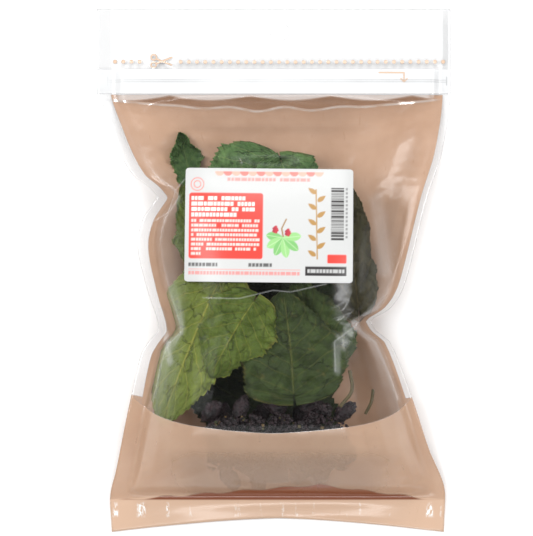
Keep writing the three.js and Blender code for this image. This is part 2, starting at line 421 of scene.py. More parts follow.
def fitLabelSurface(grid):
    # the sticker is stiffer than the film, so both follow one smooth surface there
    u, v = toLabel(grid[:, :, 0], grid[:, :, 1])
    u, v = u / labelSize[0] * 2, v / labelSize[1] * 2
    inside = (np.abs(u) < 1.04) & (np.abs(v) < 1.04)
    powers = [(a, b) for a in range(5) for b in range(5 - a)]
    terms = np.stack([u[inside] ** a * v[inside] ** b for a, b in powers], axis=1)
    weights = np.linalg.lstsq(terms, grid[:, :, 2][inside], rcond=None)[0]

    def surface(x, y):
        p, q = toLabel(x, y)
        p, q = p / labelSize[0] * 2, q / labelSize[1] * 2
        return sum(w * p ** a * q ** b for w, (a, b) in zip(weights, powers))

    beside = np.maximum(np.abs(u) - 1, 0) * labelSize[0] / 2
    beyond = np.maximum(np.abs(v) - 1, 0) * labelSize[1] / 2
    hold = 1 - smooth(0.5 * mm, 7 * mm, np.maximum(beside, beyond))
    near = hold > 0
    height = surface(grid[:, :, 0][near], grid[:, :, 1][near])
    grid[:, :, 2][near] = mix(grid[:, :, 2][near], height, hold[near])
    return surface


def band(start, full, fading, end, y):
    return smooth(start * mm, full * mm, y) * (1 - smooth(fading * mm, end * mm, y))


def rippleHeader(grid, sign):
    # the header's two layers stand a little apart in soft waves between the top weld and the zip
    x, y = grid[:, :, 0], grid[:, :, 1]
    aboveZip, belowZip = band(101, 105, 109, 113, y), band(84, 89, 91, 95, y)
    waves = np.sin(x / (2.9 * mm) + 1.3 * np.sin(x / (21 * mm))) * (0.6 + 0.4 * np.sin(x / (13 * mm) + 2))
    stand = pouch["headerWave"] * (0.5 + 0.5 * waves) * aboveZip
    stand += pouch["zipWave"] * np.sin(x / (9 * mm) + 2) * belowZip
    grid[:, :, 2] += sign * stand


labelSurface = fitLabelSurface(frontFilm)
rippleHeader(frontFilm, 1)
frontSettled, backSettled = treeOfGrid(frontFilm), treeOfGrid(backFilm)


def filmHeights(x, y):
    over, under = heightAt(frontSettled, x, y), heightAt(backSettled, x, y)
    if over is None or under is None:
        return None
    return under, over


# the films' print and wrinkles, in mm: print on the flat film, wrinkles where the filled pouch has them
filmLook = {
    "backBeige": ((189, 154, 129), (176, 140, 114)),
    "frontBeige": ((222, 188, 160), (213, 177, 149)),
    "sealBeige": (226, 192, 165),
    "sealTop": -126.0,  # of the foot's denser print, on the flat film
    # painted shade in the middle of the foot, standing for the dark filling seen through the print
    "bellyShade": {"foot": -114, "top": -92, "middle": 4, "half": 52, "colour": (150, 122, 102)},
    "printTop": 99.4,  # of the back panel's print, above the middle of the flat film
    "windowFoot": -71.0,  # the front print's upper edge at the sides, which dips in the middle
    "windowDip": 9.5,
    "leftMargin": 7.0,
    "rightMargin": 4.0,
    "inkCover": 0.42,  # of the front print, once on each face of the film
    "dots": {
        "height": 116.2, "pitch": 4.17, "radius": 1.0, "first": -80.6,
        "leftRun": (-82.5, -66.5), "rightRun": (-49.5, 88), "colour": (228, 197, 170),
    },
    "scissors": (-57.3, 116.5),
    "arrow": (53.6, 110.4),
    "zipMark": {"left": -84.4, "right": 88.0, "height": 96.2, "tick": 2.2, "apart": 0.5},
    "zipTape": (90.0, 102.2),  # the zip's milky tape, welded along the whole width
    # the grey that the header's painted sheen shows
    "headerSheenGrey": (168, 170, 173),
    # painted sheen and highlights along the film's folds: start, end, reach and strength
    "sheenFolds": (
        ((34, -5), (34.5, -22), 4.5, 0.045),
        ((40, -27), (32, -38), 3.5, 0.05),
        ((31.5, -38), (31.5, -50), 2.0, 0.06),
        ((-57, -20), (-52, -46), 1.6, 0.1),
        ((52, 36), (56, 0), 4.0, 0.05),
        ((-46, 106.5), (86, 106.5), 4.0, 0.06),
        ((58, 134), (84, 122), 10.0, 0.05),
        ((72, 118), (88, 112), 9.0, 0.05),
        ((-30, 121), (-14, 121), 3.0, 0.05),
        ((-19, -106.6), (-2, -109.8), 1.6, 0.3),
        ((-2, -109.8), (17, -107.7), 1.6, 0.3),
        ((-46, -103), (-36, -100), 2.6, 0.14),
    ),
    # painted highlight lines along the film's creases and the left pinch
    "creases": (
        ((-35.3, -13.6), (-17.4, -14.0), (-0.4, -9.9), (8.5, -10.7), (26.3, -6.7)),
        ((43.4, -25.7), (30.2, -35.4), (30.7, -50.0)),
        ((-44, 46.5), (-49.6, 39.9), (-53.2, 29.2), (-61.3, 24.6)),
    ),
    # below the zip the front film turns down in a wavy fold: its height, spread and waves
    "topFold": {
        "height": 81.4, "spread": 0.00075, "wave": 1.3, "length": 29.0, "upper": 86.2, "scallop": 41.0,
    },
    "foldShade": (118, 82, 58),
    # above the foot weld, painted orange light and shade between the films
    "footGlow": {
        "foot": -116.4, "peak": 8.3, "at": 22.6, "left": 94.6, "right": 57.3, "colour": (124, 60, 20),
    },
    "glintBand": (-125, -118),  # of the small glints on the foot's weld
    "glint": (255, 252, 248),
    "zipGrey": (158, 160, 162),
}


def farFromStroke(x, y, start, end):
    dx, dy = end[0] - start[0], end[1] - start[1]
    along = np.clip(((x - start[0]) * dx + (y - start[1]) * dy) / (dx * dx + dy * dy), 0, 1)
    return np.hypot(x - start[0] - along * dx, y - start[1] - along * dy)


def lineMask(u, v, start, end, radius, soft=0.25):
    # a straight stroke with round ends
    dx, dy = end[0] - start[0], end[1] - start[1]
    length2 = dx * dx + dy * dy
    along = (((u - start[0]) * (dx / length2)) + ((v - start[1]) * (dy / length2))).clamped()
    offX, offY = u - start[0] - along * dx, v - start[1] - along * dy
    return (offX * offX + offY * offY).root().under(radius, soft)


def ringMask(u, v, centre, radius, width, soft=0.25):
    offX, offY = u - centre[0], v - centre[1]
    return abs((offX * offX + offY * offY).root() - radius).under(width / 2, soft)


def headerPrint(u, v):
    dots = filmLook["dots"]
    du = (u - dots["first"] + dots["pitch"] / 2) % dots["pitch"] - dots["pitch"] / 2
    dv = v - dots["height"]
    mask = (du * du + dv * dv).root().under(dots["radius"], 0.3)
    mask = mask * (u.between(*dots["leftRun"], 0.2) + u.between(*dots["rightRun"], 0.2)).clamped()
    sx, sy = filmLook["scissors"]
    for side in (-1, 1):
        mask = mask.most(ringMask(u, v, (sx - 3.6, sy + side * 2.0), 1.35, 0.75))
        mask = mask.most(lineMask(u, v, (sx - 2.4, sy + side * 1.3), (sx + 5.4, sy - side * 2.0), 0.42))
    ax, ay = filmLook["arrow"]
    bend, tip = (12.6, 0), (12.6, -4.6)
    for start, end in (((0, 0), bend), (bend, tip), ((11.0, -3.0), tip), ((14.2, -3.0), tip)):
        mask = mask.most(lineMask(u, v, (ax + start[0], ay + start[1]), (ax + end[0], ay + end[1]), 0.36))
    return mask


hangHole = {"radius": 4.25 * mm, "centre": (3.0 * mm, 121.5 * mm), "rim": 4.8}


def printedMask(u, v, isFront):
    foot = filmLook["windowFoot"]
    if isFront:
        fromMiddle = (abs(u) / (pouch["flatWidth"] / 2 / mm)) ** 6
        return (v - fromMiddle * filmLook["windowDip"]).under(foot - filmLook["windowDip"], 0.5)
    across = u.between(-90 + filmLook["leftMargin"], 90 - filmLook["rightMargin"], 0.4)
    return v.under(foot, 0.5).most(across * v.under(filmLook["printTop"], 0.4))


def creaseHighlightMask(x, y):
    strokes = [stroke for run in filmLook["creases"] for stroke in zip(run, run[1:])]
    masks = [lineMask(x, y, start, end, 0.28, 0.5) for start, end in strokes]
    return functools.reduce(Field.most, masks)


def foldMasks(x, y):
    # the painted highlight along the crest of the wavy fold below the zip, the painted shade above it, and a
    # painted light band above that
    fold = filmLook["topFold"]
    inner = (1 - abs(x) / 62).clamped()
    waves = (x * (2 * math.pi / fold["length"]) + 0.3).sine() * inner * fold["wave"]
    fromCrest = y - (x * x * fold["spread"] + waves + fold["height"])
    line = abs(fromCrest).under(0.35, 0.9) * abs(x).under(84, 4)
    upper = abs((x * (math.pi / fold["scallop"]) + 0.9).sine()) * -2.4 + fold["upper"] + 2.4
    shade = fromCrest.over(0.6, 0.8) * (y - upper).under(0, 0.9) * abs(x).under(80, 4)
    band = (y - upper).over(0, 0.9) * y.under(91, 2) * abs(x).under(80, 4)
    return line, shade, band


def footGlowMask(x, y):
    glow = filmLook["footGlow"]
    fromPeak = x - glow["at"]
    rise = ((fromPeak + glow["left"]) / glow["left"]).least((glow["right"] - fromPeak) / glow["right"])
    top = rise * glow["peak"] + glow["foot"] + (x * 0.31).sine() * 0.5
    return (y - top).under(0, 0.9) * y.over(glow["foot"], 0.8)


def zipMarkMask(x, y):
    # the zip's ridge shows as two fine lines with a tick at either end
    mark = filmLook["zipMark"]
    line = abs(abs(y - mark["height"]) - mark["apart"]).under(0.12, 0.25)
    line = line * x.between(mark["left"], mark["right"], 0.3)
    ticks = abs(x - mark["left"]).under(0.2, 0.3).most(abs(x - mark["right"]).under(0.2, 0.3))
    return line.most(ticks * abs(y - mark["height"]).under(mark["tick"], 0.4))


def filmPaint(name, isFront):
    p = Paint(name)
    uu, vv, _ = p.uv()
    u = (uu - 0.5) * (pouch["flatWidth"] / mm)
    v = (vv - 0.5) * (pouch["flatLength"] / mm)
    flat = p.join(u, v)
    mottle = p.noise(flat, 0.05, 4.0)
    scuffs = p.noise(flat, 0.35, 5.0, 0.65, (1.0, 0.22, 1.0))
    printed = printedMask(u, v, isFront)
    tones = filmLook["frontBeige" if isFront else "backBeige"]
    beige = p.blend(mottle.over(0.5, 0.4), tones[0], tones[1])
    colour = p.blend(printed, (248, 249, 250), beige)
    rim = p.node("ShaderNodeLayerWeight", None, {"Blend": 0.35}, 1)
    welds = u.under(-90 + pouch["leftSeal"] / mm, 0.6) + u.over(90 - pouch["rightSeal"] / mm, 0.6)
    # painted sheen and highlights along the folds, raising the film's alpha and roughness there
    hazeAndSheen = p.attribute("hazeAndSheen", 2)
    clear = 0.004 + rim * rim * rim * 0.5 + welds.clamped() * 0.05 + scuffs.over(0.68, 0.1) * 0.025 + hazeAndSheen
    cover = filmLook["inkCover"] if isFront else 0.99
    cutEdge = abs(u).over(89.5, 0.4).most(v.over(142.5, 0.4))
    alpha = clear.most(printed * cover).most(cutEdge * 0.16)
    roughness = 0.12 + scuffs * 0.1 + printed * 0.12 + hazeAndSheen * 2.4
    covered = printed
    if isFront:
        ink = headerPrint(u, v)
        x, y, _ = p.split(p.place())
        x, y = x / mm, y / mm
        crestHighlight, shade, band = foldMasks(x, y)
        glow = footGlowMask(x, y)
        mark = zipMarkMask(x, y)
        hole = ringMask(x, y, [c / mm for c in hangHole["centre"]], hangHole["rim"], 1.0, 0.4)
        unevenCrestHighlight = crestHighlight * p.noise(flat, 0.12, 3.0).over(0.42, 0.3)
        # painted highlight lines along the film's creases
        creaseHighlight = creaseHighlightMask(x, y)
        # painted highlights: more of the white film along the creases, the fold's crest and its light band,
        # and a faint ring round the hang hole
        pale = creaseHighlight * 0.08 + unevenCrestHighlight * 0.35 + hole * 0.1 + band * 0.2
        streaks = p.noise(flat, 0.13, 2.0, 0.5, (1.0, 0.12, 1.0)).over(0.6, 0.05)
        glints = streaks * p.noise(flat, 0.8, 3.0, 0.6, (1.0, 0.5, 1.0)).over(0.5, 0.12)
        glints = glints * y.between(*filmLook["glintBand"], 1.5)
        tape = y.between(*filmLook["zipTape"], 0.3)
        # the header above the zip tape is grey, the colour of its painted sheen
        colour = p.blend(y.over(filmLook["zipTape"][1], 0.5), colour, filmLook["headerSheenGrey"])
        colour = p.blend(ink, colour, filmLook["dots"]["colour"])
        colour = p.blend(shade, colour, filmLook["foldShade"])
        # painted shade over the middle of the foot
        bellyShade = filmLook["bellyShade"]
        bellyShadeMask = abs(x - bellyShade["middle"]).under(bellyShade["half"], 18) * y.between(bellyShade["foot"], bellyShade["top"], 7)
        colour = p.blend(bellyShadeMask * 0.5, colour, bellyShade["colour"])
        onSeal = v.under(filmLook["sealTop"], 1.5)
        colour = p.blend(onSeal, colour, filmLook["sealBeige"])
        # painted orange light and shade above the foot weld
        colour = p.blend(glow, colour, filmLook["footGlow"]["colour"])
        # painted highlights on the fold's crest and the foot weld's glints
        colour = p.blend(crestHighlight.most(glints), colour, filmLook["glint"])
        colour = p.blend(mark * p.noise(flat, 0.02, 2.0).over(0.45, 0.2), colour, filmLook["zipGrey"])
        alpha = (alpha + pale).most(ink * 0.8).most(shade * 0.26).most(tape * 0.5).most(glow * 0.92)
        alpha = alpha.most(glints * 0.9).most(onSeal * 0.7)
        covered = printed.most(ink).most(shade).most(tape).most(creaseHighlight).most(band)
    return p.finish({
        "Base Color": colour,
        "Alpha": alpha.clamped(),
        "Roughness": roughness,
        "Metallic": (1 - covered) * 0.75,
        "IOR": 1.55,
        "Coat Weight": printed * 0.35,
        "Coat Roughness": 0.09,
        "Normal": p.bump(scuffs * 0.5 + mottle, 0.25, 0.3 * mm),
    })


def buildFilm(name, grid, facingDown, material, node, slot):
    rows, columns = grid.shape[:2]
    points = grid.reshape(-1, 3).copy()
    faces = gridFaces(rows, columns, facingDown)
    offX, offY = points[:, 0] - hangHole["centre"][0], points[:, 1] - hangHole["centre"][1]
    distance = np.hypot(offX, offY)
    near = [k for k, face in enumerate(faces) if distance[face[0]] < 3 * hangHole["radius"]]
    gone = {k for k in near if distance[list(faces[k])].mean() < hangHole["radius"]}
    inner = {p for k in gone for p in faces[k]}
    outer = {p for k in near if k not in gone for p in faces[k]}
    for p in inner & outer:
        grow = hangHole["radius"] / distance[p]
        points[p, 0] = hangHole["centre"][0] + offX[p] * grow
        points[p, 1] = hangHole["centre"][1] + offY[p] * grow
    kept = [face for k, face in enumerate(faces) if k not in gone]
    used = sorted({p for face in kept for p in face})
    renumbered = {p: k for k, p in enumerate(used)}
    kept = [tuple(renumbered[p] for p in face) for face in kept]
    uv = flatFilm.reshape(-1, 3)[used, :2] / (pouch["flatWidth"], pouch["flatLength"]) + 0.5
    piece = meshPiece(name, points[used], kept, material)
    setUv(piece, uv)
    x, y = points[used, 0] / mm, points[used, 1] / mm
    hazeAndSheen = np.zeros(len(used))
    if not facingDown:
        # painted sheen and highlights along the front film's folds
        for start, end, radius, strength in filmLook["sheenFolds"]:
            fading = smooth(radius * 0.3, radius * 1.3, farFromStroke(x, y, start, end))
            hazeAndSheen = np.maximum(hazeAndSheen, (1 - fading) * strength)
    piece.data.attributes.new("hazeAndSheen", "FLOAT", "POINT").data.foreach_set("value", hazeAndSheen)
    thicken(piece, pouch["filmThickness"])
    finishPiece(piece, slot, node)


clearPaint = filmPaint("clear glossy film, front", True)
printedPaint = filmPaint("printed glossy film, back", False)
buildFilm("front_panel", frontFilm, False, clearPaint, "front_film", "clear_film")
buildFilm("back_panel", backFilm, True, printedPaint, "back_film", "printed_film")
print("films made")


def repaint(node, material):
    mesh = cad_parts[node].data
    mesh.materials.clear()
    mesh.materials.append(material)


def zipPaint():
    # milky, with fine grey profiles and crushed ends
    p = Paint("milky zip strip")
    place = p.place()
    x, y, _ = p.split(place)
    low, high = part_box("zip_channel")
    middle = (low.y + high.y) / 2
    hazeAndSheen = p.noise(place, 900.0, 3.0, stretch=(0.08, 1, 1))
    profile = abs(abs(y - middle) - 0.7 * mm).under(0.12 * mm, 0.25 * mm)
    crushed = x.under(low.x + 1.0 * mm, 0.6 * mm).most(x.over(high.x - 1.0 * mm, 0.6 * mm))
    crushed = crushed * abs(y - middle).under(2.6 * mm, 0.5 * mm)
    colour = p.blend((profile * 0.6).most(crushed * 0.12), (255, 255, 255), (176, 178, 180))
    return p.finish({
        "Base Color": colour,
        "Alpha": (0.8 + hazeAndSheen * 0.1 + profile * 0.2).clamped(),
        "Roughness": 0.3 + hazeAndSheen * 0.1,
        "Normal": p.bump(hazeAndSheen, 0.2, 0.2 * mm),
    })


zipMaterial = zipPaint()
for name in ("zip_channel", "zip_rib"):
    repaint(name, zipMaterial)


def leafLook(shift, size, turn, look, pucker, torn, **more):
    return {"shift": shift, "size": size, "turn": turn, "look": look, "pucker": pucker, "torn": torn, **more}


# from the front to the back: each leaf's shift off its solid, length and width, turn, colours, pucker and
# ragged edge. A leaf with a depth is pressed that far below the front film, another lies in its solid's
# layer, and each drapes under the leaves before it; all in mm but the turn
leafLooks = {
    "leaf_front_middle": leafLook((-15, -2), (44, 38), 150, "mid", 3.0, 0.3, depth=2.8),
    "leaf_front_left": leafLook((-15.5, -3), (80, 47), 158, "pale", 2.6, 0.12, depth=3.4),
    "leaf_front_right": leafLook((-3, -2), (52, 54), 6, "deep", 3.0, 0.14, depth=4.4),
    "leaf_back_right": leafLook((7, 8), (44, 36), 20, "deep", 3.0, 0.24, depth=6.4),
    "leaf_curled_top": leafLook((-3, 0), (25, 15), 12, "blue", 6.4, 0.4, curl=6.0),
    "leaf_top_right": leafLook((-8, 0), (48, 36), 196, "blue", 3.2, 0.3),
    "leaf_top": leafLook((-15, -9), (58, 54), 136, "blue", 3.4, 0.16),
    "leaf_right": leafLook((2, -1), (62, 23), 3, "brown", 3.0, 0.3),
    "leaf_left_edge": leafLook((-8, 13), (42, 19), 10, "mid", 3.4, 0.3),
    "leaf_under_label": leafLook((-2, -6), (72, 54), 75, "shadedDark", 2.6, 0.2),
    "leaf_back_left": leafLook((-8, -18), (66, 48), 62, "shadedDark", 2.8, 0.2),
    "leaf_back_upper": leafLook((-6, -10), (70, 52), 190, "shadedDark", 2.4, 0.16),
    "leaf_back_lower": leafLook((-2, -3), (84, 62), 8, "shadedDark", 2.4, 0.12),
}
leafShape = {
    "rows": 121,
    "columns": 41,
    "teeth": 25,
    "toothDepth": 0.07,
    "veins": 7.0,
    "veinSlope": 0.34,
    "thickness": 0.26 * mm,
    "minRoom": 3.5 * mm,  # between the films, where a leaf still fits
    "apart": 0.45 * mm,  # between one leaf and the leaf or film that presses on it
    "drapeRounds": 10,
}
# each look's darkest colour serves both random dark patches and painted shade in the crinkle valleys and
# creases
leafColours = {
    # painted shade: leaf colours darkened for the leaves deep under the others and under the label
    "shadedDark": {"blade": ((20, 30, 10), (38, 52, 18)), "vein": (66, 70, 34), "patchAndShade": (12, 16, 8)},
    "deep": {"blade": ((32, 46, 14), (56, 74, 24)), "vein": (98, 98, 44), "patchAndShade": (20, 27, 10)},
    "brown": {"blade": ((46, 40, 16), (60, 58, 22)), "vein": (108, 90, 44), "patchAndShade": (26, 24, 10)},
    "mid": {"blade": ((64, 84, 22), (94, 112, 36)), "vein": (146, 142, 60), "patchAndShade": (42, 54, 16)},
    "pale": {"blade": ((82, 98, 28), (112, 126, 44)), "vein": (164, 156, 70), "patchAndShade": (58, 70, 22)},
    "blue": {"blade": ((52, 84, 42), (92, 124, 68)), "vein": (136, 154, 92), "patchAndShade": (20, 38, 20)},
}


def leafPaint(look):
    p = Paint("dried mulberry leaf, " + look)
    colours = leafColours[look]
    across, along, _ = p.uv("blade")
    r = (across - 0.5) * 2
    side = abs(r)
    vector = p.join(r * 1.2, along * 2.4)
    wobble = p.noise(vector, 1.6, 3.0)
    q = (along - side * leafShape["veinSlope"] + (wobble - 0.5) * 0.1) * leafShape["veins"]
    fromVein = abs((q + 0.5) % 1 - 0.5)
    ribs = fromVein.under(0.03, 0.05) * side.under(0.9, 0.2) * 0.8
    midrib = side.under(0.018, 0.03)
    branch = (along * 1.2 + side * 1.5 + (wobble - 0.5) * 0.5) * leafShape["veins"] * 1.7
    branches = abs((branch + 0.5) % 1 - 0.5).under(0.02, 0.07) * 0.35
    net = p.cellEdges(vector, 17.0).under(0.02, 0.05) * 0.3
    veins = midrib.most(ribs).most(branches).most(net)
    tone = p.noise(vector, 2.2, 5.0, 0.6)
    speck = p.noise(vector, 26.0, 4.0, 0.7)
    crinkle = p.noise(vector, 8.0, 5.0, 0.62)
    blade = p.blend(tone.over(0.5, 0.35), colours["blade"][0], colours["blade"][1])
    blade = p.blend(p.noise(vector, 4.0, 5.0).over(0.64, 0.12) * 0.6, blade, colours["patchAndShade"])
    # painted shade in the crinkle valleys
    blade = p.blend(crinkle.under(0.44, 0.2) * 0.45, blade, colours["patchAndShade"])
    blade = p.blend(speck.over(0.6, 0.3) * 0.4, blade, colours["blade"][1])
    bent = p.join(r * 1.2 + (wobble - 0.5) * 0.6, along * 2.4 + (tone - 0.5) * 0.6)
    creases = p.cellEdges(bent, 2.7).under(0.012, 0.035)
    creases = creases * p.noise(vector, 1.4, 2.0).over(0.46, 0.08)
    # painted shade along the creases
    blade = p.blend(creases * 0.75, blade, colours["patchAndShade"])
    dry = p.noise(vector, 3.1, 5.0, 0.7).over(0.63, 0.1) * 0.35
    blade = p.blend(dry.most(side.over(0.96, 0.08) * tone.over(0.55, 0.1) * 0.6), blade, (112, 96, 48))
    edge = side.over(0.985, 0.03) * 0.5
    colour = p.blend((veins * 0.5).most(edge), blade, colours["vein"])
    height = veins * 0.35 + tone * 0.6 + crinkle * 1.1 + speck * 0.2 - creases * 1.2
    return p.finish({
        "Base Color": colour,
        "Roughness": 0.58 + speck * 0.2,
        "Specular IOR Level": 0.4,
        "Normal": p.bump(height, 0.9, 1.0 * mm),
    })


def leafHalfWidth(s):
    # broad near the stalk, drawn out to a point at the tip
    if s <= 0 or s >= 1:
        return 0.03
    return max(0.03, math.sin(math.pi * s ** 0.62) ** 0.62 * (1 - 0.2 * s ** 4))


def leafLevel(node):
    low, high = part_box(node)
    x, y = (low.x + high.x) / 2, (low.y + high.y) / 2
    middle = heightAt(treeOfNode(node), x, y)
    under, over = heightAt(backTree, x, y), heightAt(frontTree, x, y)
    return (middle - under) / (over - under)


def leafLift(s, r, u, v, spec, seed):
    # quilting between the side veins, a groove at the midrib, folds and crumples
    pucker = spec["pucker"]
    q = (s - leafShape["veinSlope"] * abs(r)) * leafShape["veins"]
    quilt = abs(math.sin(math.pi * q)) ** 0.8 * (1 - abs(r) ** 4) * pucker * 0.3 * mm
    groove = -math.exp(-(r / 0.06) ** 2) * 0.4 * mm
    wide = noise.fractal((u / (17 * mm) + seed, v / (17 * mm), 1.7), 1.0, 2.0, 4) * pucker * 1.5 * mm
    fold = noise.ridged_multi_fractal((u / (30 * mm) + 2 * seed, v / (30 * mm), 0.3), 1.0, 2.0, 4, 0.9, 1.5)
    frill = 0.6 * mm * noise.noise((s * 20, r * 4, seed)) * abs(r) ** 4 * pucker
    curl = spec.get("curl", 0) * mm * (r * r - 0.3)
    near = noise.voronoi((u / (13 * mm) + seed, v / (13 * mm), seed))[0]
    crumple = -(1 - min(1, (near[1] - near[0]) * 2.4)) ** 2 * pucker * 0.42 * mm
    return quilt + groove + wide + (fold - 1.2) * pucker * 0.7 * mm + frill + curl + crumple


def drape(height, low, high):
    # keeps a leaf between what lies under and over it, and eases the steps that this makes
    height = np.clip(height, low, high)
    for _ in range(leafShape["drapeRounds"]):
        eased = height.copy()
        eased[1:-1] = (height[:-2] + height[1:-1] * 2 + height[2:]) / 4
        eased[:, 1:-1] = (eased[:, :-2] + eased[:, 1:-1] * 2 + eased[:, 2:]) / 4
        pushed = (height <= low) | (height >= high)
        nearPushed = smoothed(pushed.astype(float))
        height = np.clip(mix(height, eased, nearPushed), low, high)
    return height


def smoothed(values, rounds=4):
    for _ in range(rounds):
        padded = np.pad(values, 1, mode="edge")
        values = (padded[:-2, 1:-1] + padded[2:, 1:-1] + padded[1:-1, :-2] + padded[1:-1, 2:] + values) / 5
    return np.clip(values * 1.5, 0, 1)


leavesAbove = []


def buildLeaf(node, spec, material, seed):
    low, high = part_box(node)
    centre = ((low.x + high.x) / 2 + spec["shift"][0] * mm, (low.y + high.y) / 2 + spec["shift"][1] * mm)
    level = leafLevel(node)
    length, width = spec["size"][0] * mm, spec["size"][1] * mm
    turn = math.radians(spec["turn"])
    rows, columns = leafShape["rows"], leafShape["columns"]
    points, uv, lows, highs = [], [], [], []
    sway = random.Random(seed).uniform(-0.12, 0.12)
    for i in range(rows):
        s = i / (rows - 1)
        half = leafHalfWidth(s) * width / 2
        tooth = (s * leafShape["teeth"]) % 1.0 - 0.5
        for j in range(columns):
            r = 2 * j / (columns - 1) - 1
            atEdge = abs(r) ** 10
            torn = noise.fractal((s * 6 + (r > 0) * 9, seed, 5.3), 1.0, 2.0, 5)
            ragged = 1 + (spec["torn"] * torn - 0.02) * abs(r) ** 3
            u = r * half * (1 + leafShape["toothDepth"] * tooth * atEdge) * ragged
            v = (s - 0.5) * length - 0.1 * length * r * r * (1 - s) ** 2
            v += atEdge * tooth * 0.012 * length
            u += sway * length * (s - 0.5) ** 2
            lift = leafLift(s, r, u, v, spec, seed)
            # a leaf that would reach into a seam is crumpled back towards its middle
            for _ in range(40):
                x = centre[0] + u * math.cos(turn) - v * math.sin(turn)
                y = centre[1] + u * math.sin(turn) + v * math.cos(turn)
                heights = filmHeights(x, y)
                if heights and heights[1] - heights[0] > leafShape["minRoom"]:
                    break
                u, v = u * 0.97, v * 0.97
            under, over = heights
            if "depth" in spec:
                z = over - spec["depth"] * mm + lift
            else:
                z = mix(under + 1.5 * mm, over - 8.5 * mm, level) + lift
            for above in leavesAbove:
                hit = above.ray_cast(Vector((x, y, -0.1)), Vector((0, 0, 1)))[0]
                over = min(over, hit.z) if hit else over
            points.append((x, y, z))
            lows.append(under + leafShape["apart"])
            highs.append(max(over - leafShape["apart"] - leafShape["thickness"], under + leafShape["apart"]))
            uv.append((j / (columns - 1), s))
    points = np.array(points)
    shape = (rows, columns)
    heights = points[:, 2].reshape(shape)
    points[:, 2] = drape(heights, np.reshape(lows, shape), np.reshape(highs, shape)).ravel()
    leavesAbove.append(treeOfGrid(points.reshape(rows, columns, 3)))
    piece = meshPiece(node + "_blade", points, gridFaces(rows, columns), material)
    setUv(piece, uv, "blade")
    thicken(piece, leafShape["thickness"])
    finishPiece(piece, "dried_leaf", node)


leafMaterials = {look: leafPaint(look) for look in leafColours}
for number, (node, spec) in enumerate(leafLooks.items()):
    buildLeaf(node, spec, leafMaterials[spec["look"]], number * 3.7 + 1)
print("leaves made")


berry = {
    "grain": 1.75 * mm,  # width of one dried drupelet
    "grainHeight": 0.75 * mm,
    "across": 4.0 * mm,
    "deep": 3.6 * mm,
    "stray": 2.6 * mm,  # off its solid's place
    "subdivisions": 5,
}


def berryPaint():
    p = Paint("dried mulberry")
    place = p.place()
    bloom = p.noise(place, 260.0, 4.0)
    speck = p.noise(place, 1500.0, 3.0, 0.7)
    colour = p.blend(bloom.over(0.52, 0.25), (15, 9, 12), (38, 22, 27))
    colour = p.blend(speck.over(0.64, 0.08) * 0.5, colour, (84, 48, 42))
    return p.finish({
        "Base Color": colour,
        "Roughness": 0.42 + speck * 0.3,
        "Specular IOR Level": 0.35,
        "Normal": p.bump(speck + bloom, 0.6, 0.25 * mm),
    })


def keepInsideFilm(mesh):
    for v in mesh.vertices:
        heights = filmHeights(v.co.x, v.co.y)
        if heights:
            v.co.z = min(max(v.co.z, heights[0] + 0.4 * mm), heights[1] - 0.35 * mm)


def buildBerry(node, material, seed):
    low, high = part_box(node)
    chance = random.Random(seed)
    stray = berry["stray"]
    centre = (low + high) / 2 + Vector((chance.uniform(-stray, stray), chance.uniform(-stray, stray), 0))
    half = max(high.x - low.x, high.y - low.y) / 2
    heading = chance.uniform(0, math.pi)
    turn = Matrix.Rotation(heading, 3, "Z") @ Matrix.Rotation(chance.uniform(-0.35, 0.35), 3, "Y")
    around = [filmHeights(centre.x, centre.y + dy * mm)[1] for dy in (-8, -4, 0, 4)]
    centre.z = min(centre.z, min(around) - 5.0 * mm)
    ball = bmesh.new()
    bmesh.ops.create_icosphere(ball, subdivisions=berry["subdivisions"], radius=1.0)
    ball.verts.index_update()
    faces = [[v.index for v in face.verts] for face in ball.faces]
    points = []
    for v in ball.verts:
        d = v.co
        taper = 1 - 0.16 * d.x
        body = Vector((d.x * half, d.y * berry["across"] * taper, d.z * berry["deep"] * taper))
        near = noise.voronoi(body / berry["grain"] + Vector((seed, 0, 0)))[0][0]
        grain = max(0.0, 1 - (near / 0.62) ** 2) * berry["grainHeight"]
        wrinkle = noise.fractal(body / (1.1 * mm) + Vector((0, seed, 0)), 1.0, 2.0, 2) * 0.2 * mm
        dent = noise.noise(body / (4.5 * mm) + Vector((0, 0, seed))) * 0.9 * mm
        body += d.normalized() * (grain - 0.35 * mm + wrinkle + dent)
        points.append(centre + turn @ body)
    ball.free()
    piece = meshPiece(node + "_fruit", points, faces, material)
    keepInsideFilm(piece.data)
    finishPiece(piece, "dried_berry", node)


berryMaterial = berryPaint()
for node in sorted(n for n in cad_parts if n.startswith("berry_")):
    buildBerry(node, berryMaterial, int(node[-2:]) * 5.3)
print("mulberries made")


def stalkPaint():
    p = Paint("dry leaf stalk")
    grain = p.noise(p.place(), 700.0, 3.0)
    colour = p.blend(grain, (52, 46, 26), (92, 80, 46))
    normal = p.bump(grain, 0.5, 0.2 * mm)
    return p.finish({"Base Color": colour, "Roughness": 0.7 + grain * 0.1, "Normal": normal})


stalkMaterial = stalkPaint()
for name in ("stalk_long", "stalk_short"):
    repaint(name, stalkMaterial)


crumbs = {
    "heapLeft": -33,  # mm, where the heap of broken fruit lies
    "heapRight": 37,
    "heapFoot": -100,
    "shelfDepths": (1.5, 3.0, 5.0, 8.0),  # mm below the front film
    "shelfGrid": (12, 36),
    "fruit": {"count": 1300, "size": 0.9, "flatness": 0.85, "seed": 4},
    "leaf": {"count": 90, "size": 0.8, "flatness": 0.2, "seed": 9},
}


